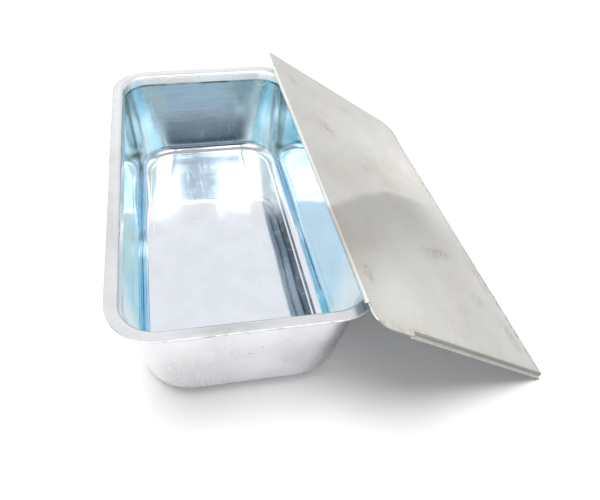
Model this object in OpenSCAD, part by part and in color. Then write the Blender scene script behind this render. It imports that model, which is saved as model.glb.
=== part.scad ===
// Pullman loaf pan with its loose lid.
// One deep drawn pan and one folded lid, which leans on the rim as it does when it is set aside.
// Millimetres. The pan stands on z = 0, its length runs along y, and the lid lies on the +x side.

/* [Pan mouth] */
// Length of the mouth at the top of the walls, below the collar
mouth_l = 207; // [120:1:320]
// Width of the mouth at the top of the walls, below the collar
mouth_w = 102; // [70:1:160]
// Height of the rim above the table
pan_h = 56.6; // [40:0.1:90]
// Plan radius of the mouth corners
mouth_corner_r = 15.5; // [8:0.5:30]

/* [Pan sheet] */
// Thickness of the pan's sheet
pan_t = 1; // [0.6:0.1:1.4]
// Inside radius of the small bends in the sheet
pan_bend_r = 0.6; // [0.3:0.1:1.2]
// Draft of the walls in degrees
draft = 3.9; // [0:0.1:6]
// Outside radius between wall and base
base_r = 6.5; // [4:0.5:12]
// How much rounder the plan corners get from rim to base
corner_growth = 12.5; // [0:0.5:16]

/* [Rim] */
// Width of the rim, from the mouth to its outer edge
rim_w = 7; // [5:0.5:14]
// Top radius of the bend from rim to collar
rim_bend_r = 2.2; // [1.5:0.1:4]
// Rounding of the sheet's edge round the rim
rim_edge_r = 0.35; // [0.1:0.05:0.5]

/* [Collar and floor] */
// Depth of the collar from the rim's top to the crease at the top of the walls
collar_h = 5.6; // [4:0.1:12]
// Flare of the collar in degrees, which is more than the walls' draft
collar_flare = 13; // [8:0.5:25]
// Flat band round the floor, between the base radius and the floor panel
floor_band = 0.6; // [0.4:0.1:8]
// How far the floor panel is pressed down below the band
panel_drop = 0.3; // [0.2:0.1:1.5]

/* [Lid] */
// Thickness of the lid's sheet
lid_t = 0.6; // [0.4:0.1:1.2]
// Inside radius of the lid's folds
lid_fold_r = 0.5; // [0.3:0.1:1]
// Gap beside the rim, inside each side fold
side_gap = 0.6; // [0.3:0.1:1.5]
// Gap below the rim, inside each side fold
under_gap = 0.4; // [0.3:0.1:1.5]
// Width of the side folds, measured below the lid
side_return = 4.4; // [2.5:0.1:6]
// How much longer the lid is than the rim
lid_slack = 10.2; // [0:0.1:20]
// How far the lip of the front fold stands out
front_lip = 2; // [1.5:0.1:5]

/* [Lid corners] */
// Length of the front fold's flat corner tab, across the lid
tab_run = 22; // [12:1:40]
// How far the front tab stands out past the front fold
tab_out = 3; // [1:0.5:6]
// Radius of the tab's outer corner
tab_r = 8; // [3:0.5:9]
// Radius of the tab's corner beside the front fold
tab_end_r = 2.5; // [0.5:0.5:3]
// Length of the side fold that is cut away beside the front tab
front_relief = 8; // [4:1:20]
// Length of the side folds that is cut away at the far end
far_relief = 20; // [12:1:30]
// Radius of the far corner at the upper edge
far_upper_r = 3; // [1:0.5:10]
// Radius of the far corner at the lower edge
far_lower_r = 9; // [3:0.5:12]
// Slit between a tab and the fold next to it
slit = 0.6; // [0.3:0.1:1.5]

/* [Lid at rest] */
// Distance from the lid's upper edge to where it lies on the rim
rest_reach = 14.4; // [8:0.1:40]
// How far the lid lies towards the front, off the pan's middle
rest_shift = 1.6; // [-20:0.1:20]
// Gap left where the lid lies on the rim
rest_gap = 0.1; // [0.05:0.05:0.5]

/* [Smoothness] */
// Facets in each plan corner of the pan
corner_steps = 9; // [6:1:10]
// Curve quality of the lid's round shapes
$fn = 48; // [24:4:96]

/* [Hidden] */

// Small cut overlap
eps = 0.01;
// Length used for a cutter that passes everything
far = 400;

// Facets in the section's small bends, its rim bend, its crease and its base radius
bend_steps = 3;
rim_steps = 4;
crease_steps = 2;
base_steps = 7;
// Least corner radius of a plan outline
least_r = 0.5;

// Radii of a hollow and of a round small bend in the sheet, on the cavity side
hollow_r = pan_bend_r;
round_r = pan_t + pan_bend_r;
bend_r_sum = hollow_r + round_r;
// Turn of the sheet in the floor's step
panel_turn = acos(1 - panel_drop / bend_r_sum);

// Height of the crease between collar and walls
crease_z = pan_h - collar_h;
// Rounding of the rim's edge, which can't be more than the sheet allows
edge_share = 0.45;
edge_r = min(rim_edge_r, edge_share * pan_t);

// Centres of the section's bends, as [outward from the mouth, height]
crease_c = [round_r, crease_z];
bend_gain = rim_bend_r - round_r;
collar_run = (collar_h - rim_bend_r + bend_gain * sin(collar_flare)) / cos(collar_flare);
rim_c = crease_c + collar_run * [sin(collar_flare), cos(collar_flare)]
    + bend_gain * [cos(collar_flare), -sin(collar_flare)];
// The wall runs from the crease, with its draft, down to the base radius
wall_top = crease_c + round_r * [-cos(draft), sin(draft)];
base_in_r = base_r - pan_t;
base_z = panel_drop + base_r;
wall_run = (wall_top.y - base_z + base_in_r * sin(draft)) / cos(draft);
base_c = [wall_top.x - wall_run * sin(draft) - base_in_r * cos(draft), base_z];
panel_c1 = [base_c.x - floor_band, panel_drop + pan_t - round_r];
panel_c2 = panel_c1 + bend_r_sum * [-sin(panel_turn), cos(panel_turn)];

function arc(c, r, from, to, steps) =
    [for (i = [0:steps]) let (a = from + (to - from) * i / steps) c + r * [cos(a), sin(a)]];

function reversed(list) = [for (i = [len(list) - 1:-1:0]) list[i]];

// Half of the rim's round edge, from its middle to the top or to the underside
function rim_edge(below) =
    let (z = below ? pan_h - pan_t + edge_r : pan_h - edge_r)
    arc([rim_w - edge_r, z], edge_r, 0, below ? -90 : 90, bend_steps);

// Section of the sheet from the rim's edge to the floor panel.
// t is the depth below the cavity side: 0 there, pan_t on the outside.
function section(t) = concat(
    rim_edge(t > 0),
    arc(rim_c, rim_bend_r - t, 90, 180 - collar_flare, rim_steps),
    arc(crease_c, round_r - t, 180 - collar_flare, 180 - draft, crease_steps),
    arc(base_c, base_in_r + t, -draft, -90, base_steps),
    arc(panel_c1, round_r - t, 90, 90 + panel_turn, bend_steps),
    arc(panel_c2, hollow_r + t, -90 + panel_turn, -90, bend_steps));

// Extra corner radius at a height: none at the collar, all of it at the table
function growth(z) = corner_growth * max(0, min(1, (crease_z - z) / crease_z));

// One plan outline of the pan, rounder at its corners the deeper it lies
function plan_ring(out, z, extra) =
    let (r = max(least_r, mouth_corner_r + out + extra))
    let (cx = mouth_w / 2 + out - r)
    let (cy = mouth_l / 2 + out - r)
    [for (q = [0:3], k = [0:corner_steps])
        let (a = 90 * (q + k / corner_steps))
        let (sx = (q == 0 || q == 3) ? 1 : -1)
        let (sy = q < 2 ? 1 : -1)
        [sx * cx + r * cos(a), sy * cy + r * sin(a), z]];

// Deep drawn shell: the section is carried round the plan outlines and skinned
module drawn_shell() {
    inside = section(0);
    outside = section(pan_t);
    extra = [for (p = inside) growth(p.y)];
    last = len(inside) - 1;
    rings = concat(
        reversed([for (i = [0:last]) plan_ring(outside[i].x, outside[i].y, extra[i])]),
        [for (i = [0:last]) plan_ring(inside[i].x, inside[i].y, extra[i])]);
    n = len(rings[0]);
    m = len(rings);
    points = [for (ring = rings, p = ring) p];
    sides = [for (i = [0:m - 2], j = [0:n - 1])
        let (k = (j + 1) % n)
        each [[i * n + j, (i + 1) * n + j, (i + 1) * n + k], [i * n + j, (i + 1) * n + k, i * n + k]]];
    under = [for (j = [0:n - 1]) j];
    over = [for (j = [n - 1:-1:0]) (m - 1) * n + j];
    polyhedron(points, concat(sides, [under, over]), convexity = 6);
}

module pan() {
    color("gainsboro") drawn_shell();
}

// Outside sizes of the rim and of the lid that slides over it
rim_outer_w = mouth_w + 2 * rim_w;
rim_outer_l = mouth_l + 2 * rim_w;
lid_w = rim_outer_w + 2 * (side_gap + lid_t);
lid_l = rim_outer_l + lid_slack;
// Outside radius of the lid's folds, and depth of the folds below the sheet
fold_r = lid_fold_r + lid_t;
fold_depth = pan_t + under_gap + lid_t;

// A strip of sheet bent to a quarter turn, seen end on, about its own centre
module quarter_bend(from) {
    intersection() {
        difference() {
            circle(r = fold_r);
            circle(r = lid_fold_r);
        }
        rotate(from) square(fold_r + eps);
    }
}

// Round edge of the sheet, seen end on, with its left end at x
module round_edge(x, y) {
    translate([x + lid_t / 2, y + lid_t / 2]) circle(d = lid_t);
}

// Side fold seen end on: down, then back in under the rim. Its outer face is x = 0.
module side_fold_section() {
    translate([fold_r, lid_t - fold_r]) quarter_bend(90);
    translate([0, fold_r - fold_depth]) square([lid_t, fold_depth + lid_t - 2 * fold_r]);
    translate([fold_r, fold_r - fold_depth]) quarter_bend(180);
    translate([fold_r, -fold_depth]) square([side_return - fold_r - lid_t / 2, lid_t]);
    round_edge(side_return - lid_t, -fold_depth);
}

// Front fold seen end on: down past the rim's edge, then out to a lip
module front_fold_section() {
    translate([fold_r, lid_t - fold_r]) quarter_bend(90);
    translate([0, fold_r - fold_depth]) square([lid_t, fold_depth + lid_t - 2 * fold_r]);
    translate([-lid_fold_r, fold_r - fold_depth]) quarter_bend(-90);
    translate([lid_t / 2 - front_lip, -fold_depth]) square([front_lip - lid_fold_r - lid_t / 2, lid_t]);
    round_edge(-front_lip, -fold_depth);
}

// Side fold from a place along the lid to where both side folds end
module side_fold(front) {
    back = lid_l - far_relief - slit;
    translate([0, back, 0]) rotate([90, 0, 0]) linear_extrude(back - front) side_fold_section();
}

// Wedge that slants the front end of a side fold
module end_slant(front) {
    translate([-eps, front, lid_t - fold_r]) rotate([-135, 0, 0]) cube(far);
}

// What is cut off a square corner at [0, 0] to make it round
module corner_waste(r) {
    translate([-eps, -eps]) difference() {
        square(r + eps);
        translate([r + eps, r + eps]) circle(r = r);
    }
}

// Corner of the blank that stays flat: its outer corner, at [0, 0], is round
module corner_plate(across, along, r) {
    difference() {
        square([across, along]);
        corner_waste(r);
    }
}

// Flat part of the lid seen from above: the middle sheet and the corners without folds
module lid_outline() {
    translate([fold_r, fold_r]) square([lid_w - 2 * fold_r, lid_l - fold_r - far_relief]);
    difference() {
        translate([0, -tab_out]) corner_plate(tab_run, front_relief + tab_out, tab_r);
        translate([tab_run, -tab_out]) mirror([1, 0]) corner_waste(tab_end_r);
    }
    translate([0, lid_l]) mirror([0, 1]) corner_plate(lid_w / 2, far_relief, far_upper_r);
    translate([lid_w, lid_l]) rotate(180) corner_plate(lid_w / 2, far_relief, far_lower_r);
}

// Block whose front top edge is as round as the front fold, to trim the fold beside it
module front_trim() {
    rotate([90, 0, 90]) linear_extrude(far) {
        translate([fold_r, lid_t - fold_r]) circle(r = fold_r);
        translate([0, -far]) square([far, far + lid_t - fold_r]);
        translate([fold_r, -far]) square([far, far + lid_t]);
    }
}

// The lid as it lies closed: sheet underside on z = 0, outer faces of its folds on x = 0 and y = 0
module flat_lid() {
    linear_extrude(lid_t) lid_outline();
    difference() {
        side_fold(front_relief + slit);
        end_slant(front_relief + slit);
    }
    intersection() {
        translate([lid_w, 0, 0]) mirror([1, 0, 0]) side_fold(0);
        front_trim();
    }
    translate([tab_run + slit, 0, 0]) rotate([90, 0, 90])
        linear_extrude(lid_w - fold_r - tab_run - slit) front_fold_section();
}

// Lean of the lid: it touches the rim's round edge and stands on the round corner of its side fold
lean_across = lid_w - fold_r - rest_reach;
lean_down = fold_depth - fold_r - edge_r - rest_gap;
lean_height = pan_h - edge_r - fold_r;
lean = asin(lean_height / norm([lean_across, lean_down])) - atan2(lean_down, lean_across);
// Where the rim's round edge has its centre, in the room and in the lid's own frame
rim_edge_at = [rim_outer_w / 2 - edge_r, 0, pan_h - edge_r];
rim_edge_in_lid = [rest_reach, lid_l / 2, -edge_r - rest_gap];

module lid() {
    color("silver")
        translate(rim_edge_at - [0, rest_shift, 0]) rotate([0, lean, 0])
            translate(-rim_edge_in_lid) flat_lid();
}

pan();
lid();
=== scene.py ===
# Looks of the loaf pan and its loose lid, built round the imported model. Metres, in the part's frame.
import math

import bmesh
import bpy
from mathutils import Matrix, Vector, noise


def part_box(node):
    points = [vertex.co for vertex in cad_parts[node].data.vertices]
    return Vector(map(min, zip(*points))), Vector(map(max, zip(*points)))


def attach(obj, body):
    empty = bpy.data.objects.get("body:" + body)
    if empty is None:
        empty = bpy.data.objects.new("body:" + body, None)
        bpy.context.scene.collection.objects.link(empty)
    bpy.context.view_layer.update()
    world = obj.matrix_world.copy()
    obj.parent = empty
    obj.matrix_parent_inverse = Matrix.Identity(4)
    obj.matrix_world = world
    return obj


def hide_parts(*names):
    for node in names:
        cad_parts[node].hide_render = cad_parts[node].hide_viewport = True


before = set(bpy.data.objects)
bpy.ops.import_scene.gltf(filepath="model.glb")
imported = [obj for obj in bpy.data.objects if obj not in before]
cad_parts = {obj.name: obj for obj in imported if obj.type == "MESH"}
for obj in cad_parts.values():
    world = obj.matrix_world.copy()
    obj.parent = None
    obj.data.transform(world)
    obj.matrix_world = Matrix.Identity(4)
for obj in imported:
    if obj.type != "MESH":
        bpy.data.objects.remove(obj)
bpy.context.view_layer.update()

MM = 0.001

# Pan sizes that the frame doesn't give, as in the part's source
PAN_T = 1.0 * MM
PAN_BEND_R = 0.6 * MM
DRAFT = math.radians(3.9)
BASE_R = 6.5 * MM
CORNER_GROWTH = 12.5 * MM
MOUTH_CORNER_R = 15.5 * MM
RIM_W = 7 * MM
RIM_BEND_R = 2.2 * MM
RIM_EDGE_R = 0.35 * MM
COLLAR_H = 5.6 * MM
COLLAR_FLARE = math.radians(13)
FLOOR_BAND = 0.6 * MM
PANEL_DROP = 0.3 * MM

# Lid sizes, as in the part's source
LID_T = 0.6 * MM
LID_FOLD_R = 0.5 * MM
SIDE_GAP = 0.6 * MM
UNDER_GAP = 0.4 * MM
SIDE_RETURN = 4.4 * MM
LID_SLACK = 10.2 * MM
FRONT_LIP = 2 * MM
TAB_RUN = 22 * MM
TAB_OUT = 3 * MM
TAB_R = 8 * MM
TAB_END_R = 2.5 * MM
FRONT_RELIEF = 8 * MM
FAR_RELIEF = 20 * MM
FAR_UPPER_R = 3 * MM
FAR_LOWER_R = 9 * MM
SLIT = 0.6 * MM
REST_REACH = 14.4 * MM
REST_SHIFT = 1.6 * MM
REST_GAP = 0.1 * MM

# Sizes that the frame gives
pan_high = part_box("pan")[1]
PAN_H = pan_high.z
MOUTH_W = 2 * (pan_high.x - RIM_W)
MOUTH_L = 2 * (pan_high.y - RIM_W)


# Camera of the photograph
IMAGE_W, IMAGE_H = 600, 500
FOCAL_PX = 508.96
CENTRE_PX = (260.92, 285.76)
CAMERA_AT = Vector((-21.6, -227.1, 216.5)) * MM
CAMERA_TURN = math.radians(11.56)
CAMERA_DOWN = math.radians(48.28)
CAMERA_ROLL = math.radians(2.64)
SENSOR_W = 36
CLIP_START = 0.01


def make_camera():
    data = bpy.data.cameras.new("camera")
    data.sensor_fit = "HORIZONTAL"
    data.sensor_width = SENSOR_W
    data.lens = SENSOR_W * FOCAL_PX / IMAGE_W
    data.shift_x = (IMAGE_W / 2 - CENTRE_PX[0]) / IMAGE_W
    data.shift_y = (CENTRE_PX[1] - IMAGE_H / 2) / IMAGE_W
    data.clip_start = CLIP_START
    forward = Vector((math.sin(CAMERA_TURN) * math.cos(CAMERA_DOWN),
                      math.cos(CAMERA_TURN) * math.cos(CAMERA_DOWN), -math.sin(CAMERA_DOWN)))
    level = Vector((math.cos(CAMERA_TURN), -math.sin(CAMERA_TURN), 0))
    upright = level.cross(forward)
    right = math.cos(CAMERA_ROLL) * level + math.sin(CAMERA_ROLL) * upright
    up = math.cos(CAMERA_ROLL) * upright - math.sin(CAMERA_ROLL) * level
    camera = bpy.data.objects.new("camera", data)
    camera.matrix_world = Matrix.Translation(CAMERA_AT) @ Matrix((right, up, -forward)).transposed().to_4x4()
    bpy.context.scene.collection.objects.link(camera)
    bpy.context.scene.camera = camera


def add_object(name, mesh):
    piece = bpy.data.objects.new(name, mesh)
    bpy.context.scene.collection.objects.link(piece)
    return piece


def arc(centre, radius, start, end, steps):
    """Points on an arc, as (across, up), with its angles in radians."""
    turns = [start + (end - start) * i / steps for i in range(steps + 1)]
    return [(centre[0] + radius * math.cos(a), centre[1] + radius * math.sin(a)) for a in turns]


def joined(stretches, gaps):
    """The stretches as one list of points, with each gap between two of them filled by that many steps.
    A gap of 0 steps means that they meet in one point."""
    points = list(stretches[0])
    for gap, stretch in zip(gaps, stretches[1:]):
        a, b = points[-1], stretch[0]
        points += [(a[0] + (b[0] - a[0]) * i / gap, a[1] + (b[1] - a[1]) * i / gap) for i in range(1, gap)]
        points += stretch if gap else stretch[1:]
    return points


# Mesh of the pan. Its finishes are numbered in the order in which its materials are added
INSIDE, OUTSIDE, EDGE = 0, 1, 2
HOLLOW_R = PAN_BEND_R
ROUND_R = PAN_T + PAN_BEND_R
BEND_R_SUM = HOLLOW_R + ROUND_R
PANEL_TURN = math.acos(1 - PANEL_DROP / BEND_R_SUM)
CREASE_Z = PAN_H - COLLAR_H
EDGE_STEPS, RIM_STEPS, CREASE_STEPS, BEND_STEPS, BASE_STEPS = 4, 10, 3, 6, 14
GAP_STEPS = [4, 3, 22, 1, 0]
CORNER_STEPS = 16
LONG_STEPS, SHORT_STEPS = 36, 16
PANEL_RINGS = 14
PANEL_REACH = 0.9


def section(t):
    """The sheet's section from the rim's edge to the floor panel, at depth t below the cavity side."""
    right, half = math.pi / 2, math.pi
    edge_z = PAN_H - PAN_T + RIM_EDGE_R if t > 0 else PAN_H - RIM_EDGE_R
    lean, level = math.sin(COLLAR_FLARE), math.cos(COLLAR_FLARE)
    gain = RIM_BEND_R - ROUND_R
    run = (COLLAR_H - RIM_BEND_R + gain * lean) / level
    rim = (ROUND_R + run * lean + gain * level, CREASE_Z + run * level - gain * lean)
    wall_top = (ROUND_R - ROUND_R * math.cos(DRAFT), CREASE_Z + ROUND_R * math.sin(DRAFT))
    base_in_r = BASE_R - PAN_T
    base_z = PANEL_DROP + BASE_R
    wall_run = (wall_top[1] - base_z + base_in_r * math.sin(DRAFT)) / math.cos(DRAFT)
    base_x = wall_top[0] - wall_run * math.sin(DRAFT) - base_in_r * math.cos(DRAFT)
    panel_1 = (base_x - FLOOR_BAND, PANEL_DROP + PAN_T - ROUND_R)
    panel_2 = (panel_1[0] - BEND_R_SUM * math.sin(PANEL_TURN),
               panel_1[1] + BEND_R_SUM * math.cos(PANEL_TURN))
    return joined([
        arc((RIM_W - RIM_EDGE_R, edge_z), RIM_EDGE_R, 0, -right if t > 0 else right, EDGE_STEPS),
        arc(rim, RIM_BEND_R - t, right, half - COLLAR_FLARE, RIM_STEPS),
        arc((ROUND_R, CREASE_Z), ROUND_R - t, half - COLLAR_FLARE, half - DRAFT, CREASE_STEPS),
        arc((base_x, base_z), base_in_r + t, -DRAFT, -right, BASE_STEPS),
        arc(panel_1, ROUND_R - t, right, right + PANEL_TURN, BEND_STEPS),
        arc(panel_2, HOLLOW_R + t, PANEL_TURN - right, -right, BEND_STEPS),
    ], GAP_STEPS)


def plan_ring(out, z, growth):
    """One outline of the pan seen from above, with points along its straight sides too."""
    r = max(PAN_BEND_R, MOUTH_CORNER_R + out + growth)
    cx, cy = MOUTH_W / 2 + out - r, MOUTH_L / 2 + out - r
    corners = []
    for q, (sx, sy) in enumerate(((1, 1), (-1, 1), (-1, -1), (1, -1))):
        start = q * math.pi / 2
        corners.append(arc((sx * cx, sy * cy), r, start, start + math.pi / 2, CORNER_STEPS))
    loop = joined(corners + [corners[0][:1]], [SHORT_STEPS, LONG_STEPS, SHORT_STEPS, LONG_STEPS])
    return [Vector((x, y, z)) for x, y in loop[:-1]]


def panel_rings(ring):
    """Outlines that shrink from the floor panel's edge towards the line along its middle."""
    spine = max(p.y for p in ring) - max(p.x for p in ring)
    middles = [Vector((0, max(-spine, min(spine, p.y)), p.z)) for p in ring]
    shares = [PANEL_REACH * (i + 1) / PANEL_RINGS for i in range(PANEL_RINGS)]
    return [[p.lerp(m, share) for p, m in zip(ring, middles)] for share in shares]


def shell_side(t, heights):
    """All outlines of one side of the sheet, from the rim's edge to the middle of the floor."""
    rings = []
    for (out, z), height in zip(section(t), heights):
        growth = CORNER_GROWTH * max(0, min(1, (CREASE_Z - height) / CREASE_Z))
        rings.append(plan_ring(out, z, growth))
    return rings + panel_rings(rings[-1])


def ease(low, high, value):
    """Smooth step from 0 at low to 1 at high."""
    share = max(0, min(1, (value - low) / (high - low)))
    return share * share * (3 - 2 * share)


# Small unevenness of the drawn sheet, as the largest shift and the waves' size in metres, and where it
# sets in: below the crease, above the foot of the wall, and inward from the mouth on the floor, where the
# panel's rings are taken to reach PANEL_RUN further in
WALL_WAVE, WALL_WAVE_SIZE = 0.16 * MM, 42 * MM
FLOOR_WAVE, FLOOR_WAVE_SIZE = 0.22 * MM, 30 * MM
FLOOR_WAVE_SHIFT = Vector((3, 1, 0))
CREASE_STILL = 8 * MM
FOOT_STILL = (2 * MM, 10 * MM)
FLOOR_STILL = (-11 * MM, -22 * MM)
PANEL_RUN = 30 * MM


def wave(p):
    """Smooth noise from 0 to 1."""
    return 0.5 + 0.5 * noise.noise(p)


def pan_unevenness(p, out):
    """How far the sheet is off its true shape at a point: walls sideways, floor upward."""
    wall = ease(CREASE_Z, CREASE_Z - CREASE_STILL, p.z) * ease(*FOOT_STILL, p.z)
    side = WALL_WAVE * wall * noise.noise(p / WALL_WAVE_SIZE)
    lift = FLOOR_WAVE * ease(*FLOOR_STILL, out) * wave(p / FLOOR_WAVE_SIZE + FLOOR_WAVE_SHIFT)
    away = Vector((p.x / MOUTH_W, p.y / MOUTH_L, 0))
    away = away.normalized() if away.length > 0 else away
    return away * side + Vector((0, 0, lift))


def build_pan():
    heights = [z for out, z in section(0)]
    inside = shell_side(0, heights)
    outside = shell_side(PAN_T, heights)
    outs = [out for out, z in section(0)]
    outs += [outs[-1] - PANEL_RUN * (i + 1) / PANEL_RINGS for i in range(PANEL_RINGS)]
    shifts = [[pan_unevenness(p, out) for p in ring] for ring, out in zip(inside, outs)]
    rings = [[p + s for p, s in zip(ring, row)] for ring, row in zip(inside, shifts)]
    under = [[p + s for p, s in zip(ring, row)] for ring, row in zip(outside, shifts)]
    rings = under[::-1] + rings
    n, m = len(rings[0]), len(rings)
    faces = []
    zones = []
    edge_start, edge_end = len(under) - 1 - EDGE_STEPS, len(under) + EDGE_STEPS
    rim_end = len(under) + EDGE_STEPS + GAP_STEPS[0] + RIM_STEPS + GAP_STEPS[1] + CREASE_STEPS // 2
    for i in range(m - 1):
        zone = INSIDE if i >= rim_end else EDGE if edge_start <= i < edge_end else OUTSIDE
        for j in range(n):
            k = (j + 1) % n
            faces.append((i * n + j, (i + 1) * n + j, (i + 1) * n + k, i * n + k)[::-1])
            zones.append(zone)
    faces.append(tuple(range(n))[::-1])
    zones.append(OUTSIDE)
    faces.append(tuple((m - 1) * n + j for j in range(n)))
    zones.append(INSIDE)
    mesh = bpy.data.meshes.new("pan_shell")
    mesh.from_pydata([p for ring in rings for p in ring], [], faces)
    mesh.polygons.foreach_set("material_index", zones)
    mesh.polygons.foreach_set("use_smooth", [True] * len(faces))
    mesh.validate()
    return add_object("pan_shell", mesh)


# Mesh of the lid, in the frame of the flat lid: underside of the sheet at z = 0. Its finishes are
# numbered in the order of LID_FINISHES
MILL, PAINTED_HIGHLIGHT_FOLD, PAINTED_SHADE_FOLD, UNDERSIDE = 0, 1, 2, 3
FOLD_R = LID_FOLD_R + LID_T
FOLD_DEPTH = PAN_T + UNDER_GAP + LID_T
LID_W = MOUTH_W + 2 * (RIM_W + SIDE_GAP + LID_T)
LID_L = MOUTH_L + 2 * RIM_W + LID_SLACK
FOLD_STEPS = 8
ROUND_STEPS = 14
SEAT = 1.5 * MM
GRID = 4 * MM
GRID_SNAP = 0.002 * MM
FLAT_ANGLE = math.radians(0.5)
SHARP_ANGLE = math.radians(35)
LID_WAVE, LID_WAVE_SIZE = 0.3 * MM, 60 * MM
SIDE_STILL, END_STILL = 12 * MM, 10 * MM

# How far a cutting solid stands clear of what it cuts
MARGIN = 1 * MM

# How squarely a face looks along an axis to get that axis's finish
FACE_SHARE = 0.6


def rounded(corners):
    """A closed outline from (x, y, radius) corners, in order round it."""
    outline = []
    count = len(corners)
    for i, (x, y, r) in enumerate(corners):
        at = Vector((x, y))
        before = (Vector(corners[i - 1][:2]) - at).normalized()
        after = (Vector(corners[(i + 1) % count][:2]) - at).normalized()
        if r == 0:
            outline.append((x, y))
            continue
        centre = at + (before + after) * r
        start = math.atan2(-after.y, -after.x)
        turn = math.copysign(math.pi / 2, before.x * after.y - before.y * after.x)
        outline += arc(centre, r, start, start - turn, ROUND_STEPS)
    return outline


def prism(name, outline, length, matrix):
    """A closed solid: the outline in its own x and y, drawn out along its z, then placed."""
    n = len(outline)
    points = [matrix @ Vector((x, y, z)) for z in (0, length) for x, y in outline]
    faces = [tuple(range(n))[::-1], tuple(range(n, 2 * n))]
    faces += [(i, (i + 1) % n, n + (i + 1) % n, n + i) for i in range(n)]
    mesh = bpy.data.meshes.new(name)
    mesh.from_pydata(points, [], faces)
    form = bmesh.new()
    form.from_mesh(mesh)
    bmesh.ops.recalc_face_normals(form, faces=form.faces)
    form.to_mesh(mesh)
    form.free()
    return add_object(name, mesh)


def combine(base, tool, operation):
    """Joins or cuts base with tool, which is used up."""
    change = base.modifiers.new("change", "BOOLEAN")
    change.solver = "EXACT"
    change.operation = operation
    change.object = tool
    solid = base.evaluated_get(bpy.context.evaluated_depsgraph_get())
    mesh = bpy.data.meshes.new_from_object(solid)
    base.modifiers.clear()
    base.data = mesh
    bpy.data.objects.remove(tool)


def side_section():
    """Side fold seen end on, with a seat that reaches into the flat sheet. Its outer face is x = 0."""
    right = math.pi / 2
    top = (FOLD_R, LID_T - FOLD_R)
    low = (FOLD_R, FOLD_R - FOLD_DEPTH)
    lip = (SIDE_RETURN - LID_T / 2, LID_T / 2 - FOLD_DEPTH)
    return ([(FOLD_R + SEAT, LID_T)]
            + arc(top, FOLD_R, right, 2 * right, FOLD_STEPS)
            + arc(low, FOLD_R, 2 * right, 3 * right, FOLD_STEPS)
            + arc(lip, LID_T / 2, -right, right, FOLD_STEPS)
            + arc(low, LID_FOLD_R, 3 * right, 2 * right, FOLD_STEPS)
            + arc(top, LID_FOLD_R, 2 * right, right, FOLD_STEPS)
            + [(FOLD_R + SEAT, 0)])


def front_section():
    """Front fold seen end on, from the flat sheet down and out to its lip."""
    right = math.pi / 2
    top = (FOLD_R, LID_T - FOLD_R)
    low = (-LID_FOLD_R, FOLD_R - FOLD_DEPTH)
    lip = (LID_T / 2 - FRONT_LIP, LID_T / 2 - FOLD_DEPTH)
    return ([(FOLD_R + SEAT, LID_T)]
            + arc(top, FOLD_R, right, 2 * right, FOLD_STEPS)
            + arc(low, LID_FOLD_R, 0, -right, FOLD_STEPS)
            + arc(lip, LID_T / 2, right, 3 * right, FOLD_STEPS)
            + arc(low, FOLD_R, -right, 0, FOLD_STEPS)
            + arc(top, LID_FOLD_R, 2 * right, right, FOLD_STEPS)
            + [(FOLD_R + SEAT, 0)])


def flat_sheet():
    """The lid's flat sheet with its corner tab and its far corners."""
    far_y = LID_L - FAR_RELIEF
    return rounded([
        (0, -TAB_OUT, TAB_R), (TAB_RUN, -TAB_OUT, TAB_END_R), (TAB_RUN, FOLD_R, 0),
        (LID_W - FOLD_R, FOLD_R, 0), (LID_W - FOLD_R, far_y, 0), (LID_W, far_y, 0),
        (LID_W, LID_L, FAR_LOWER_R), (0, LID_L, FAR_UPPER_R), (0, far_y, 0),
        (FOLD_R, far_y, 0), (FOLD_R, FRONT_RELIEF, 0), (0, FRONT_RELIEF, 0)])


# How a prism's own x, y and length lie in the lid: drawn out along the lid, or across it
ALONG_Y = Matrix(((1, 0, 0, 0), (0, 0, 1, 0), (0, 1, 0, 0), (0, 0, 0, 1)))
ALONG_X = Matrix(((0, 0, 1, 0), (1, 0, 0, 0), (0, 1, 0, 0), (0, 0, 0, 1)))


def flip_across(outline):
    return [(LID_W - x, z) for x, z in outline][::-1]


def upper_fold():
    """Side fold at the lid's upper edge, with a slanted end beside the corner tab."""
    start = FRONT_RELIEF + SLIT
    fold = prism("upper_fold", side_section(), LID_L - FAR_RELIEF - SLIT - start,
                 Matrix.Translation((0, start, 0)) @ ALONG_Y)
    reach = 3 * FOLD_DEPTH
    wedge = prism("wedge", [(0, 0), (-reach, -reach), (reach, -reach)], reach,
                  Matrix.Translation((-MARGIN, start, LID_T - FOLD_R)) @ ALONG_X)
    combine(fold, wedge, "DIFFERENCE")
    return fold


def lower_fold():
    """Side fold at the lid's lower edge, rounded at the front like the fold that it meets."""
    fold = prism("lower_fold", flip_across(side_section()), LID_L - FAR_RELIEF - SLIT, ALONG_Y)
    waste = arc((FOLD_R, LID_T - FOLD_R), FOLD_R, math.pi, math.pi / 2, FOLD_STEPS)
    waste += [(FOLD_R, LID_T + MARGIN), (-MARGIN, LID_T + MARGIN), (-MARGIN, LID_T - FOLD_R)]
    block = prism("block", waste, 2 * SIDE_RETURN, Matrix.Translation((LID_W - SIDE_RETURN, 0, 0)) @ ALONG_X)
    combine(fold, block, "DIFFERENCE")
    return fold


def front_fold():
    start = TAB_RUN + SLIT
    return prism("front_fold", front_section(), LID_W - FOLD_R - start,
                 Matrix.Translation((start, 0, 0)) @ ALONG_X)


def grid_cuts(form, axis, length):
    """Cuts the faces at even steps along an axis, so that they can bend."""
    normal = Vector((axis == 0, axis == 1, 0))
    for i in range(1, int(length / GRID)):
        geometry = form.verts[:] + form.edges[:] + form.faces[:]
        bmesh.ops.bisect_plane(form, geom=geometry, dist=GRID_SNAP, plane_co=normal * GRID * i,
                               plane_no=normal)


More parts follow.
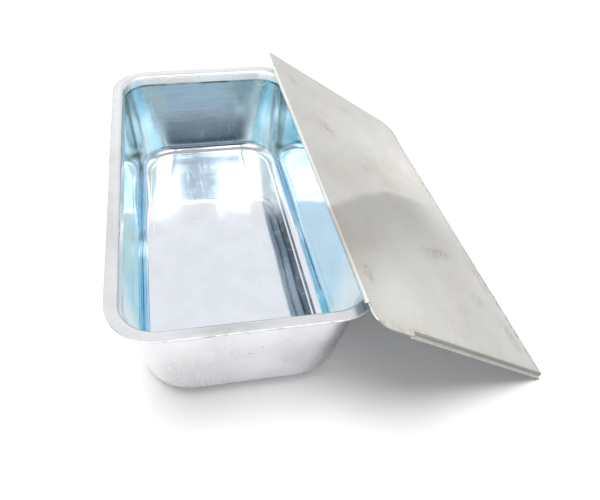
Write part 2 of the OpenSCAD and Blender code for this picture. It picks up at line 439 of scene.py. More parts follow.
# How the lid leans: it touches the rim's round edge and stands on the round corner of its lower fold
LEAN_ACROSS = LID_W - FOLD_R - REST_REACH
LEAN_DOWN = FOLD_DEPTH - FOLD_R - RIM_EDGE_R - REST_GAP
LEAN_HEIGHT = PAN_H - RIM_EDGE_R - FOLD_R
LEAN = math.asin(LEAN_HEIGHT / math.hypot(LEAN_ACROSS, LEAN_DOWN)) - math.atan2(LEAN_DOWN, LEAN_ACROSS)
RIM_EDGE_AT = Vector((pan_high.x - RIM_EDGE_R, -REST_SHIFT, PAN_H - RIM_EDGE_R))
RIM_EDGE_IN_LID = Vector((REST_REACH, LID_L / 2, -RIM_EDGE_R - REST_GAP))
LID_PLACE = (Matrix.Translation(RIM_EDGE_AT) @ Matrix.Rotation(LEAN, 4, "Y")
             @ Matrix.Translation(-RIM_EDGE_IN_LID))


def lid_unevenness(p):
    """Small dents and waves of the thin sheet, as a shift square to it."""
    inner = ease(0, SIDE_STILL, p.x) * ease(0, SIDE_STILL, LID_W - p.x)
    inner *= ease(0, END_STILL, p.y) * ease(0, END_STILL, LID_L - p.y)
    return -LID_WAVE * inner * wave(p / LID_WAVE_SIZE)


def lid_zone(normal):
    """Which finish a face has, as its place in LID_FINISHES, with painted shade and highlight by facing."""
    if abs(normal.y) > FACE_SHARE:
        return PAINTED_SHADE_FOLD
    if normal.z < -FACE_SHARE:
        return UNDERSIDE
    return PAINTED_HIGHLIGHT_FOLD if normal.x < -FACE_SHARE else MILL


def build_lid():
    lid = prism("lid_sheet", flat_sheet(), LID_T, Matrix())
    for fold in (upper_fold(), lower_fold(), front_fold()):
        combine(lid, fold, "UNION")
    form = bmesh.new()
    form.from_mesh(lid.data)
    bmesh.ops.remove_doubles(form, verts=form.verts, dist=GRID_SNAP)
    bmesh.ops.dissolve_limit(form, angle_limit=FLAT_ANGLE, verts=form.verts, edges=form.edges)
    grid_cuts(form, 0, LID_W)
    grid_cuts(form, 1, LID_L)
    bmesh.ops.remove_doubles(form, verts=form.verts, dist=GRID_SNAP)
    bmesh.ops.dissolve_degenerate(form, dist=GRID_SNAP, edges=form.edges)
    for vert in form.verts:
        vert.co.z += lid_unevenness(Vector((vert.co.x, vert.co.y, 0)))
    form.normal_update()
    for face in form.faces:
        face.smooth = True
        face.material_index = lid_zone(face.normal)
    form.transform(LID_PLACE)
    form.to_mesh(lid.data)
    form.free()
    lid.data.set_sharp_from_angle(angle=SHARP_ANGLE)
    return lid


# Small helpers for materials
# Places of the colour sockets of a Mix node: its two colours and its result
MIX_A, MIX_B, MIX_RESULT = 6, 7, 2
WARP_DETAIL = 3.0
NOISE_MIDDLE = (0.5, 0.5, 0.5)


def new_metal(name):
    """A new metal, with its node tree and its shader."""
    material = bpy.data.materials.new(name)
    material.use_nodes = True
    shader = material.node_tree.nodes["Principled BSDF"]
    shader.inputs["Metallic"].default_value = 1.0
    return material, material.node_tree, shader


def blank_material(name):
    """A new material with no nodes yet."""
    material = bpy.data.materials.new(name)
    material.use_nodes = True
    material.node_tree.nodes.clear()
    return material, material.node_tree


def node(tree, kind, inputs=None, **settings):
    """A new node, with its settings and with each input set to a value or linked to an output."""
    made = tree.nodes.new("ShaderNode" + kind)
    for setting, value in settings.items():
        setattr(made, setting, value)
    for socket, value in (inputs or {}).items():
        if isinstance(value, bpy.types.NodeSocket):
            tree.links.new(value, made.inputs[socket])
        else:
            made.inputs[socket].default_value = value
    return made


def calc(tree, operation, a, b):
    return node(tree, "Math", {0: a, 1: b}, operation=operation).outputs[0]


def combined(tree, operation, values):
    """The values taken together one after the other."""
    result = values[0]
    for value in values[1:]:
        result = calc(tree, operation, result, value)
    return result


def total(tree, *values):
    return combined(tree, "ADD", values)


def times(tree, *values):
    return combined(tree, "MULTIPLY", values)


def most(tree, *values):
    return combined(tree, "MAXIMUM", values)


def remap(tree, value, low, high, to_low=0.0, to_high=1.0):
    """Smooth change from to_low to to_high as the value goes from low to high."""
    return node(tree, "MapRange", {"Value": value, "From Min": low, "From Max": high, "To Min": to_low,
                                   "To Max": to_high}, interpolation_type="SMOOTHSTEP").outputs["Result"]


def axes_of(tree, spot):
    """The x, y and z of a place, by name."""
    return node(tree, "SeparateXYZ", {"Vector": spot}).outputs


def place_of(tree, turn=(0, 0, 0), shift=(0, 0, 0)):
    """Where a point is on its piece in metres, turned and shifted into the piece's own axes."""
    spot = node(tree, "TexCoord").outputs["Object"]
    return node(tree, "Mapping", {"Vector": spot, "Rotation": turn, "Location": shift}).outputs["Vector"]


def warped(tree, spot, size, amount):
    """The place shifted by soft noise of that size, so that marks get uneven outlines."""
    scale = (1 / size, 1 / size, 1 / size)
    sized = node(tree, "Mapping", {"Vector": spot, "Scale": scale}).outputs["Vector"]
    soft = node(tree, "TexNoise", {"Vector": sized, "Scale": 1.0, "Detail": WARP_DETAIL}).outputs["Color"]
    centred = node(tree, "VectorMath", {0: soft, 1: NOISE_MIDDLE}, operation="SUBTRACT").outputs["Vector"]
    moved = node(tree, "VectorMath", {0: centred, 3: amount}, operation="SCALE").outputs["Vector"]
    return node(tree, "VectorMath", {0: spot, 1: moved}, operation="ADD").outputs["Vector"]


def blob(tree, spot, centre, size, turn=0.0):
    """1 at a place, falling smoothly to 0 at the edge of an ellipse of that half-size round it."""
    own = node(tree, "Mapping", {"Vector": spot, "Location": (*centre, 0), "Rotation": (0, 0, turn),
                                 "Scale": (*size, 1)}, vector_type="TEXTURE").outputs["Vector"]
    flat = node(tree, "VectorMath", {0: own, 1: (1, 1, 0)}, operation="MULTIPLY").outputs["Vector"]
    far = node(tree, "VectorMath", {0: flat}, operation="LENGTH").outputs["Value"]
    return remap(tree, far, 0, 1, 1, 0)


def grain(tree, spot, scale, detail, angle=0.0, rough=0.5, shift=(0, 0, 0)):
    """Noise from 0 to 1, with its own scale per metre along each axis, turned about the z axis."""
    turned = node(tree, "Mapping", {"Vector": spot, "Rotation": (0, 0, angle)}).outputs["Vector"]
    sized = node(tree, "Mapping", {"Vector": turned, "Scale": scale, "Location": shift}).outputs["Vector"]
    inputs = {"Vector": sized, "Scale": 1.0, "Detail": detail, "Roughness": rough}
    return node(tree, "TexNoise", inputs).outputs["Fac"]


def blend_colour(tree, share, a, b, mode="MIX"):
    a = (*a, 1) if isinstance(a, tuple) else a
    b = (*b, 1) if isinstance(b, tuple) else b
    mix = node(tree, "Mix", {0: share, MIX_A: a, MIX_B: b}, data_type="RGBA", blend_type=mode)
    return mix.outputs[MIX_RESULT]


def shaded(tree, colour, shade):
    """The colour times a shade that varies over the surface."""
    grey = node(tree, "CombineColor", {0: shade, 1: shade, 2: shade}).outputs[0]
    return blend_colour(tree, 1.0, colour, grey, "MULTIPLY")


def finish_metal(tree, shader, colour, rough, relief):
    """Links the colour, the roughness and a bump made of (height, depth in metres) layers to the shader."""
    tree.links.new(colour, shader.inputs["Base Color"])
    tree.links.new(rough, shader.inputs["Roughness"])
    normal = None
    for height, depth in relief:
        inputs = {"Height": height, "Distance": depth, "Strength": 1.0}
        if normal is not None:
            inputs["Normal"] = normal
        normal = node(tree, "Bump", inputs).outputs["Normal"]
    tree.links.new(normal, shader.inputs["Normal"])


# Scratches, each as angle, spacing and length in mm, how much further their patches spread, and shift of
# their noise
PAN_SCRATCHES = [(0.3, 0.4, 30, 0.0, (0, 0, 0)), (-0.5, 0.4, 24, 0.05, (5, 3, 1)),
                 (1.4, 0.4, 30, 0.05, (2, 7, 4))]
LID_SCRATCHES = [(0.9, 0.35, 26, 0.05, (1, 4, 0)), (-0.6, 0.35, 20, 0.08, (7, 2, 3))]
LINE_DETAIL = 2.0
LINE_EDGE = (0.68, 0.74)
PATCH_SCALE = (40, 40, 40)
PATCH_TURN = 1
PATCH_EDGE = (0.5, 0.6)


def one_scratching(tree, spot, angle, spacing, length, spread, shift):
    """Thin straight marks at an angle: 1 on a mark and 0 beside it, in patches of the surface."""
    scale = (1 / (length * MM), 1 / (spacing * MM), 1 / (length * MM))
    lines = remap(tree, grain(tree, spot, scale, LINE_DETAIL, angle, shift=shift), *LINE_EDGE)
    patches = grain(tree, spot, PATCH_SCALE, LINE_DETAIL, angle + PATCH_TURN, shift=shift)
    edge = [place + spread for place in PATCH_EDGE]
    return times(tree, lines, remap(tree, patches, *edge, 1, 0))


def scratches(tree, spot, table):
    return total(tree, *[one_scratching(tree, spot, *row) for row in table])


# Colours of the metal, as shares of light that it gives back
FLOOR_METAL = (0.77, 0.80, 0.86)
END_METAL = (0.62, 0.74, 0.81)
# Painted reflection: pale cyan at the inner corners of the walls
CORNER_PAINTED_REFLECTION = (0.86, 0.98, 0.99)
LEFT_FAR = (0.66, 0.90, 0.96)
LEFT_NEAR = (0.22, 0.72, 0.85)
LEFT_TEAL = (0.28, 0.70, 0.68)
STRIPE_METAL = (0.40, 0.66, 0.92)
RIGHT_METAL = (0.58, 0.83, 0.96)
RIM_METAL = (0.75, 0.76, 0.78)
EDGE_METAL = (0.50, 0.51, 0.53)
OUTSIDE_METAL = (0.88, 0.885, 0.90)
# Painted light: the outside's lighter colour low down
OUTSIDE_LOW_PAINTED_LIGHT = (0.94, 0.945, 0.96)
# Painted highlight: near-white colour from the height of the crease up
COLLAR_PAINTED_HIGHLIGHT = (0.98, 0.985, 0.99)
# Dark colour of smudges, wear and nicks, and of the painted shade at the foot of the outside
DIRT_AND_SHADE = (0.42, 0.43, 0.45)
LID_METAL = (0.61, 0.605, 0.585)
LID_UNDER = (0.60, 0.625, 0.65)
LID_BEIGE = (0.57, 0.52, 0.45)
LID_MARK = (0.24, 0.23, 0.21)

# Stretch of a cloudy noise over which shade and roughness change
CLOUD_RANGE = (0.3, 0.7)

# Tints of the drawn walls: size and amount of the noise that moves them, patches of teal, and where one
# tint turns into the next along the pan, across it, upward, and at the ends and corners, where the pale
# tint is a painted reflection
WALL_WARP = (30 * MM, 14 * MM)
TEAL_GRAIN = {"scale": (14, 9, 30), "detail": 1.0}
TEAL_RANGE = (0.4, 0.6)
LEFT_RANGE = (-20 * MM, 60 * MM)
ACROSS_RANGE = (-25 * MM, 25 * MM)
STRIPE_RANGE, STRIPE_SHARE = (4 * MM, 10 * MM), 0.8
END_RANGE = (84 * MM, 96 * MM)
CORNER_ACROSS, CORNER_ALONG = (24 * MM, 38 * MM), (62 * MM, 84 * MM)


def wall_colour(tree, spot):
    """Tint of the drawn walls, with 1 at the ends and 1 at the corners: steel blue at the ends, teal along
    one side, light blue along the other, and a pale painted reflection at the corners."""
    axes = axes_of(tree, warped(tree, spot, *WALL_WARP))
    across = calc(tree, "ABSOLUTE", axes["X"], 0.0)
    along = calc(tree, "ABSOLUTE", axes["Y"], 0.0)
    teal = remap(tree, grain(tree, spot, **TEAL_GRAIN), *TEAL_RANGE)
    left = blend_colour(tree, teal, LEFT_NEAR, LEFT_TEAL)
    left = blend_colour(tree, remap(tree, axes["Y"], *LEFT_RANGE), left, LEFT_FAR)
    sides = blend_colour(tree, remap(tree, axes["X"], *ACROSS_RANGE), left, RIGHT_METAL)
    stripe = remap(tree, axes["Z"], *STRIPE_RANGE, STRIPE_SHARE, 0)
    sides = blend_colour(tree, stripe, sides, STRIPE_METAL)
    end = remap(tree, along, *END_RANGE)
    corner = times(tree, remap(tree, across, *CORNER_ACROSS), remap(tree, along, *CORNER_ALONG))
    tint = blend_colour(tree, end, sides, END_METAL)
    # Painted reflection: the corners turn pale
    return blend_colour(tree, corner, tint, CORNER_PAINTED_REFLECTION), end, corner


# Polished inside: height over which the walls' tint sets in, clouds, draw lines across the ends, a broken
# line of painted shade under the crease, a strip of painted shade at the far foot of the wall, roughness
# and relief
TINT_RANGE = (1.8 * MM, 6 * MM)
INSIDE_CLOUDS = {"scale": (60, 60, 60), "detail": 3.0}
INSIDE_SHADE = (0.97, 1.03)
DRAW_LINES = {"scale": (45, 1500, 1500), "detail": 3.0}
DRAW_LINE_SHADE = -0.34
CREASE_RANGE = (CREASE_Z - 1.3 * MM, CREASE_Z - 0.4 * MM)
CREASE_GRAIN = {"scale": (90, 90, 300), "detail": 2.0}
CREASE_BREAKS = (0.35, 0.6)
CREASE_PAINTED_SHADE = -0.6
# Painted shade along the far foot of the wall: where it lies along the pan, where it starts and ends upward,
# and how dark it is
FAR_FOOT_ALONG = (89 * MM, 93 * MM)
FAR_FOOT_START, FAR_FOOT_END = (1.2 * MM, 2 * MM), (4 * MM, 7 * MM)
FAR_FOOT_PAINTED_SHADE = -0.45
INSIDE_ROUGH = (0.05, 0.08)
SCRATCH_ROUGH, END_ROUGH, CORNER_ROUGH = 0.15, 0.03, 0.16
LINE_RELIEF, SCRATCH_RELIEF = 0.012 * MM, -0.01 * MM


def polished_inside():
    """Bright drawn surface: neutral floor, tinted walls, draw lines across the ends, thin scratches."""
    material, tree, shader = new_metal("pan_polished")
    spot = place_of(tree)
    axes = axes_of(tree, spot)
    height = axes["Z"]
    wall = remap(tree, height, *TINT_RANGE)
    tint, end, corner = wall_colour(tree, spot)
    clouds = grain(tree, spot, **INSIDE_CLOUDS)
    lines = times(tree, wall, end, grain(tree, spot, **DRAW_LINES))
    # Painted shade: a broken dark line under the crease
    broken = remap(tree, grain(tree, spot, **CREASE_GRAIN), *CREASE_BREAKS)
    crease = times(tree, remap(tree, height, *CREASE_RANGE), broken)
    # Painted shade: a dark strip along the far foot of the wall
    foot = times(tree, remap(tree, height, *FAR_FOOT_START), remap(tree, height, *FAR_FOOT_END, 1, 0),
                 remap(tree, axes["Y"], *FAR_FOOT_ALONG))
    shade = total(tree, remap(tree, clouds, *CLOUD_RANGE, *INSIDE_SHADE),
                  times(tree, lines, DRAW_LINE_SHADE), times(tree, crease, CREASE_PAINTED_SHADE),
                  times(tree, foot, FAR_FOOT_PAINTED_SHADE))
    colour = shaded(tree, blend_colour(tree, wall, FLOOR_METAL, tint), shade)
    marks = scratches(tree, spot, PAN_SCRATCHES)
    rough = total(tree, remap(tree, clouds, *CLOUD_RANGE, *INSIDE_ROUGH), times(tree, marks, SCRATCH_ROUGH),
                  times(tree, end, END_ROUGH), times(tree, corner, CORNER_ROUGH))
    finish_metal(tree, shader, colour, rough, [(lines, LINE_RELIEF), (marks, SCRATCH_RELIEF)])
    return material


# Satin outside: clouds, upright draw marks, nicks in some places only, smudges on the rim, a worn place at
# the front of the rim, painted shade at the foot, the heights where the tints change (painted light low
# down and a painted highlight from the crease up), roughness and relief
OUTSIDE_CLOUDS = {"scale": (45, 45, 45), "detail": 2.0}
OUTSIDE_SHADE = (0.92, 1.04)
DRAW_MARKS = {"scale": (900, 900, 25), "detail": 2.0}
NICK_GRAIN = {"scale": (340, 340, 900), "detail": 1.0, "angle": 0.4}
NICK_RANGE = (0.735, 0.775)
NICK_PLACES = {"scale": (38, 38, 38), "detail": 1.0, "shift": (4, 0, 2)}
NICK_PLACES_RANGE = (0.5, 0.56)
SMUDGE_GRAIN = {"scale": (70, 70, 160), "detail": 5.0, "angle": 0.7, "rough": 0.7, "shift": (1, 6, 0)}
SMUDGE_RANGE, SMUDGE_SHARE = (0.55, 0.75), 0.2
WORN_WARP = (6 * MM, 5 * MM)
WORN_AT, WORN_SIZE, WORN_SHARE = (-9 * MM, -107 * MM), (32 * MM, 4 * MM), 0.45
FOOT_SHADE_RANGE, FOOT_SHADE_SHARE = (0.5 * MM, 3 * MM), 0.5
LOW_PAINTED_LIGHT_RANGE = (8 * MM, 30 * MM)
COLLAR_HIGHLIGHT_RANGE = (CREASE_Z - 1 * MM, CREASE_Z)
RIM_RANGE = (PAN_H - 1.8 * MM, PAN_H - 0.6 * MM)
OUTSIDE_ROUGH, DRAW_ROUGH = (0.22, 0.30), 0.06
DRAW_RELIEF, NICK_RELIEF = 0.01 * MM, -0.01 * MM


def satin_outside():
    """Satin sheet of the rim and the outside, with upright draw marks, smudges and small nicks."""
    material, tree, shader = new_metal("pan_satin")
    spot = place_of(tree)
    height = axes_of(tree, spot)["Z"]
    clouds = grain(tree, spot, **OUTSIDE_CLOUDS)
    draws = grain(tree, spot, **DRAW_MARKS)
    nicks = times(tree, remap(tree, grain(tree, spot, **NICK_GRAIN), *NICK_RANGE),
                  remap(tree, grain(tree, spot, **NICK_PLACES), *NICK_PLACES_RANGE))
    smudges = remap(tree, grain(tree, spot, **SMUDGE_GRAIN), *SMUDGE_RANGE)
    rim = remap(tree, height, *RIM_RANGE)
    # Painted light: the outside turns lighter towards the bottom
    colour = blend_colour(tree, remap(tree, height, *LOW_PAINTED_LIGHT_RANGE), OUTSIDE_LOW_PAINTED_LIGHT, OUTSIDE_METAL)
    # Painted highlight: paler from the height of the crease up to the rim
    colour = blend_colour(tree, remap(tree, height, *COLLAR_HIGHLIGHT_RANGE), colour, COLLAR_PAINTED_HIGHLIGHT)
    colour = blend_colour(tree, rim, colour, RIM_METAL)
    colour = shaded(tree, colour, remap(tree, clouds, *CLOUD_RANGE, *OUTSIDE_SHADE))
    worn = blob(tree, warped(tree, spot, *WORN_WARP), WORN_AT, WORN_SIZE)
    # Painted shade: the outside darkens towards its bottom edge, as the floor's contact shadow
    foot = times(tree, remap(tree, height, *FOOT_SHADE_RANGE, 1, 0), FOOT_SHADE_SHARE)
    # Real smudges and wear on the rim, together with the painted shade at the foot
    dirt_and_shade = most(tree, times(tree, rim, SMUDGE_SHARE, smudges), times(tree, worn, rim, WORN_SHARE), foot)
    colour = blend_colour(tree, dirt_and_shade, colour, DIRT_AND_SHADE)
    colour = blend_colour(tree, nicks, colour, DIRT_AND_SHADE)
    rough = total(tree, remap(tree, clouds, *CLOUD_RANGE, *OUTSIDE_ROUGH), times(tree, draws, DRAW_ROUGH))
    finish_metal(tree, shader, colour, rough, [(draws, DRAW_RELIEF), (nicks, NICK_RELIEF)])
    return material


# Cut edge of the rim: its nicks, their roughness and their relief
EDGE_GRAIN = {"scale": (260, 260, 60), "detail": 3.0}
EDGE_RANGE = (0.45, 0.7)
EDGE_ROUGH = (0.3, 0.5)
EDGE_RELIEF = -0.04 * MM


def sheared_edge():
    """Cut edge of the rim: duller metal with small nicks."""
    material, tree, shader = new_metal("pan_edge")
    nicks = remap(tree, grain(tree, place_of(tree), **EDGE_GRAIN), *EDGE_RANGE)
    colour = blend_colour(tree, nicks, RIM_METAL, EDGE_METAL)
    finish_metal(tree, shader, colour, remap(tree, nicks, 0, 1, *EDGE_ROUGH), [(nicks, EDGE_RELIEF)])
    return material


# Finishes of the lid, in the order of MILL to UNDERSIDE, each as name, metal, tone and whether it has the
# dull zone and the beige stains. The two fold finishes are lit and shaded copies of the mill finish: a
# painted highlight, tone 1.5, on faces that look past the upper edge, and painted shade, tone 0.52, on
# faces that look along the lid
LID_FINISHES = [("lid_mill", LID_METAL, 1.0, True), ("lid_fold_painted_highlight", LID_METAL, 1.5, True),
                ("lid_fold_painted_shade", LID_METAL, 0.52, True), ("lid_underside", LID_UNDER, 1.0, False)]

# Dull zone of the lid: a bowed line across the sheet at DULL_FRONT + DULL_SLOPE u - DULL_BOW u squared,
# where u is the distance from the upper edge. The zone starts within DULL_EDGE of that line, fades over
# DULL_FADE towards the front, and weakens to DULL_REST over DULL_ACROSS
DULL_FRONT = 66 * MM
DULL_SLOPE = 1.02
DULL_BOW = 4.42
DULL_WARP = (35 * MM, 7 * MM)
DULL_EDGE, DULL_SHADE = (-3 * MM, 4 * MM), 0.30
DULL_FADE = (-72 * MM, -12 * MM)
DULL_ACROSS, DULL_REST = (72 * MM, 112 * MM), 0.2

# Brighter areas of the lid, each as (distance from the upper edge, from the front fold), radius in mm, gain
LID_BRIGHT = [((108, 165), 85, 0.27), ((20, 8), 45, 0.2)]


def lid_shade(tree, spot):
    """Large light and dark areas of the lid."""
    axes = axes_of(tree, warped(tree, spot, *DULL_WARP))
    u = axes["X"]
    bow = times(tree, u, u, -DULL_BOW)
    line = total(tree, times(tree, u, DULL_SLOPE), bow, DULL_FRONT)
    off = calc(tree, "SUBTRACT", axes["Y"], line)
    dull = times(tree, remap(tree, off, *DULL_EDGE, DULL_SHADE, 0),
                 remap(tree, u, *DULL_ACROSS, 1, DULL_REST), remap(tree, off, *DULL_FADE), -1.0)
    bright = [times(tree, blob(tree, spot, (x * MM, y * MM), (r * MM, r * MM)), gain)
              for (x, y), r, gain in LID_BRIGHT]
    return total(tree, dull, *bright, 1.0)


# Stains of the lid, each as (distance from the upper edge, from the front fold) and half-sizes in mm, turn
# and strength
LID_STAINS = [((28, 158), (7, 14), 0.5, 0.8), ((60, 208), (9, 6), 0.2, 0.5), ((78, 70), (22, 6), 0.3, 0.9),
              ((95, 40), (10, 9), 0.4, 0.5), ((48, 128), (6, 5), 0.8, 0.5), ((14, 205), (5, 12), 0.3, 0.5),
              ((8, 28), (5, 10), 0.0, 0.6), ((108, 22), (6, 16), 0.1, 0.7), ((112, 62), (5, 22), 0.0, 0.6)]
STAIN_WARP = (6 * MM, 9 * MM)
FLECK_GRAIN = {"scale": (800, 260, 800), "detail": 5.0, "angle": 0.6, "rough": 0.8}
FLECK_RANGE, FLECK_SHARE = (0.47, 0.58), 0.7

# Dirt within the lid's lower edge and its front, and the dark outline of its lower and far edges
LOWER_DIRT = (LID_W - 5 * MM, LID_W - 1 * MM)
FRONT_DIRT, FRONT_DIRT_SHARE = (0, 3 * MM), 0.4
LOWER_OUTLINE = (LID_W - 1.6 * MM, LID_W - 0.5 * MM)
FAR_OUTLINE = (LID_L - 1.2 * MM, LID_L - 0.2 * MM)
OUTLINE_BREAKS, OUTLINE_SHARE = (0.35, 0.55), (0.35, 0.7)


def stain_spots(tree, loose):
    return total(tree, *[times(tree, blob(tree, loose, (u * MM, v * MM), (a * MM, b * MM), turn), strength)
                         for (u, v), (a, b), turn, strength in LID_STAINS])


def dark_flecks(tree, spot, loose, spots):
    """Flecks of dirt in the stains and along the lid's lower and front edges."""
    axes = axes_of(tree, loose)
    flecks = remap(tree, grain(tree, spot, **FLECK_GRAIN), *FLECK_RANGE)
    edges = most(tree, remap(tree, axes["X"], *LOWER_DIRT),
                 remap(tree, axes["Y"], *FRONT_DIRT, FRONT_DIRT_SHARE, 0))
    return times(tree, flecks, FLECK_SHARE, total(tree, spots, edges))


def edge_outline(tree, spot, clouds):
    """Dark line along the lid's lower and far edges, stronger in some places."""
    axes = axes_of(tree, spot)
    line = most(tree, remap(tree, axes["X"], *LOWER_OUTLINE), remap(tree, axes["Y"], *FAR_OUTLINE))
    return times(tree, line, remap(tree, clouds, *OUTLINE_BREAKS, *OUTLINE_SHARE))


# Rolled sheet of the lid: clouds, beige tint, grain along the sheet, scratches, roughness and relief
LID_CLOUDS = {"scale": (26, 15, 26), "detail": 5.0, "angle": 0.5, "rough": 0.62}
LID_CLOUD_SHADE = (0.91, 1.07)
BEIGE_GRAIN = {"scale": (24, 16, 24), "detail": 4.0, "angle": 0.9, "rough": 0.6, "shift": (3, 1, 0)}
BEIGE_RANGE, BEIGE_SHARE = (0.46, 0.66), 0.5
STAIN_WARMTH, UNMARKED_WARMTH = 0.8, 0.2
ROLLED_GRAIN = {"scale": (1500, 25, 1500), "detail": 2.0}
ROLLED_SHADE = 0.05
LID_SCRATCH_SHARE = 0.35
LID_ROUGH, STAIN_ROUGH = (0.36, 0.46), 0.1
ROLLED_RELIEF, LID_SCRATCH_RELIEF, STAIN_RELIEF = 0.006 * MM, -0.012 * MM, -0.02 * MM


def mill_lid(name, metal, tone, marked):
    """Matte rolled sheet: grain along the lid, a dull zone, beige stains, dark edges and scratches."""
    material, tree, shader = new_metal(name)
    back = LID_PLACE.inverted()
    spot = place_of(tree, tuple(back.to_euler()), tuple(back.translation))
    loose = warped(tree, spot, *STAIN_WARP)
    clouds = grain(tree, spot, **LID_CLOUDS)
    beige = remap(tree, grain(tree, spot, **BEIGE_GRAIN), *BEIGE_RANGE)
    rolled = grain(tree, spot, **ROLLED_GRAIN)
    zone = lid_shade(tree, spot) if marked else 1.0
    tones = [tone * shade for shade in LID_CLOUD_SHADE]
    shade = times(tree, zone, remap(tree, clouds, *CLOUD_RANGE, *tones))
    spots = stain_spots(tree, loose)
    warm = most(tree, times(tree, beige, BEIGE_SHARE), times(tree, spots, STAIN_WARMTH))
    warm = times(tree, warm, 1.0 if marked else UNMARKED_WARMTH)
    colour = blend_colour(tree, warm, metal, LID_BEIGE)
    colour = shaded(tree, colour, total(tree, shade, times(tree, rolled, ROLLED_SHADE)))
    stains = dark_flecks(tree, spot, loose, spots)
    colour = blend_colour(tree, most(tree, stains, edge_outline(tree, spot, clouds)), colour, LID_MARK)
    marks = scratches(tree, spot, LID_SCRATCHES)
    colour = blend_colour(tree, times(tree, marks, LID_SCRATCH_SHARE), colour, LID_MARK)
    rough = total(tree, remap(tree, clouds, *CLOUD_RANGE, *LID_ROUGH), times(tree, stains, STAIN_ROUGH))
    finish_metal(tree, shader, colour, rough,
                 [(rolled, ROLLED_RELIEF), (marks, LID_SCRATCH_RELIEF), (stains, STAIN_RELIEF)])
    return material


# Studio: white floor and background, a soft lamp high above towards the far left, and cards that only
# reflections show. FLOOR_LIFT brightens the floor for the camera only, and AMBIENT is how strongly the
# background lights things
WHITE = (1, 1, 1, 1)
FLOOR_REACH = 8
FLOOR_DROP = 0.02 * MM
FLOOR_COLOUR = (0.93, 0.93, 0.93, 1)
FLOOR_LIFT = 0.1
AMBIENT = 0.28
LAMP_AZIMUTH, LAMP_ELEVATION = -50, 77
LAMP_SPREAD, LAMP_STRENGTH = 38, 2.6


def seen_directly(tree):
    """1 for the camera and for reflections, 0 for light that falls on things."""
    path = node(tree, "LightPath").outputs
    return most(tree, path["Is Camera Ray"], path["Is Glossy Ray"], path["Is Transmission Ray"])


def staged_plane(name, corners, material):
    """A flat face of the studio, which isn't part of the object."""
    mesh = bpy.data.meshes.new(name)
    mesh.from_pydata(corners, [], [(0, 1, 2, 3)])
    mesh.materials.append(material)
    plane = add_object(name, mesh)
    return plane


def make_floor():
    material, tree = blank_material("floor_white")
    matte = node(tree, "BsdfDiffuse", {"Color": FLOOR_COLOUR}).outputs[0]
    lift = times(tree, node(tree, "LightPath").outputs["Is Camera Ray"], FLOOR_LIFT)
    glow = node(tree, "Emission", {"Color": WHITE, "Strength": lift}).outputs[0]
    both = node(tree, "AddShader", {0: matte, 1: glow}).outputs[0]
    node(tree, "OutputMaterial", {"Surface": both})
    reach, z = FLOOR_REACH, -FLOOR_DROP
    staged_plane("floor", [(-reach, -reach, z), (reach, -reach, z), (reach, reach, z), (-reach, reach, z)],
                 material)


def make_world():
    world = bpy.data.worlds.new("studio")
    bpy.context.scene.world = world
    world.use_nodes = True
    tree = world.node_tree
    strength = node(tree, "MapRange", {"Value": seen_directly(tree), "To Min": AMBIENT, "To Max": 1.0})
    background = tree.nodes["Background"]
    background.inputs["Color"].default_value = WHITE
    tree.links.new(strength.outputs["Result"], background.inputs["Strength"])


def toward(azimuth, elevation):
    """Unit vector towards a place in the studio: azimuth from +Y towards +X, both in degrees."""
    a, e = math.radians(azimuth), math.radians(elevation)
    return Vector((math.sin(a) * math.cos(e), math.cos(a) * math.cos(e), math.sin(e)))


def make_lamp():
    """A soft distant lamp, which lights the floor and leaves no mirror image."""
    data = bpy.data.lights.new("lamp", "SUN")
    data.angle = math.radians(LAMP_SPREAD)
    data.energy = LAMP_STRENGTH
    lamp = bpy.data.objects.new("lamp", data)
    lamp.rotation_euler = toward(LAMP_AZIMUTH, LAMP_ELEVATION).to_track_quat("Z", "Y").to_euler()
    lamp.visible_glossy = False
    bpy.context.scene.collection.objects.link(lamp)


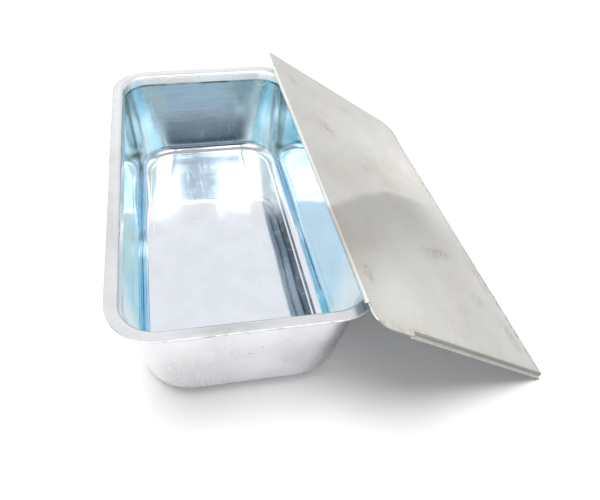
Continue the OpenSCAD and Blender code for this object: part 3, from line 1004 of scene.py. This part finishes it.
# Lights of the cards, and the cards as azimuths, elevations and the light at the lower and upper edge:
# bright windows behind the camera with a gap between them, a dark band that fades out below them, and weak
# glows beyond the far end, low behind the camera on the left, and at the near right
WINDOW, GLOW, LOW_GLOW, SIDE_GLOW, NEAR_GLOW = [(s, s, s) for s in (4, 2, 1.45, 1.7, 1.5)]
DARK, PALE = (0.05, 0.08, 0.11), (0.80, 0.86, 0.91)
CARD_DISTANCE = 7
CARDS = {
    "window_left": ((180.2, 194), (42.5, 66), WINDOW, WINDOW),
    "window_side": ((194, 240), (36.5, 66), WINDOW, WINDOW),
    "window_right": ((112, 174.4), (41.5, 66), WINDOW, WINDOW),
    "dark_band": ((166, 188), (26, 39), DARK, DARK),
    "dark_fade": ((164, 190), (18.5, 26), PALE, DARK),
    "glow_left": ((354, 359.4), (37.5, 39.8), GLOW, GLOW),
    "glow_right": ((4.6, 9.5), (37.5, 39.8), GLOW, GLOW),
    "glow_low": ((350, 370), (24, 32), LOW_GLOW, LOW_GLOW),
    "glow_side": ((200, 256), (12, 36), SIDE_GLOW, SIDE_GLOW),
    "glow_near": ((136, 160), (17, 33), NEAR_GLOW, NEAR_GLOW),
}


def make_card(name, azimuths, elevations, low_light, high_light):
    """A card that only reflections show, between two azimuths and two elevations, with a light for each."""
    (left, right), (low, high) = azimuths, elevations
    corners = [toward(*place) * CARD_DISTANCE
               for place in ((left, low), (right, low), (right, high), (left, high))]
    material, tree = blank_material(name)
    share = remap(tree, axes_of(tree, place_of(tree))["Z"], corners[0].z, corners[2].z)
    glow = node(tree, "Emission", {"Color": blend_colour(tree, share, low_light, high_light)}).outputs[0]
    node(tree, "OutputMaterial", {"Surface": glow})
    card = staged_plane(name, corners, material)
    for ray in ("camera", "diffuse", "transmission", "volume_scatter", "shadow"):
        setattr(card, "visible_" + ray, False)


def make_studio():
    make_floor()
    make_world()
    make_lamp()
    for name, card in CARDS.items():
        make_card(name, *card)


make_camera()
bpy.context.scene.view_settings.view_transform = "Standard"
make_studio()

pan_shell = build_pan()
pan_shell.data.materials.append(polished_inside())
pan_shell.data.materials.append(satin_outside())
pan_shell.data.materials.append(sheared_edge())
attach(pan_shell, "pan")
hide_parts("pan")

lid_sheet = build_lid()
for finish in LID_FINISHES:
    lid_sheet.data.materials.append(mill_lid(*finish))
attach(lid_sheet, "lid")
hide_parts("lid")
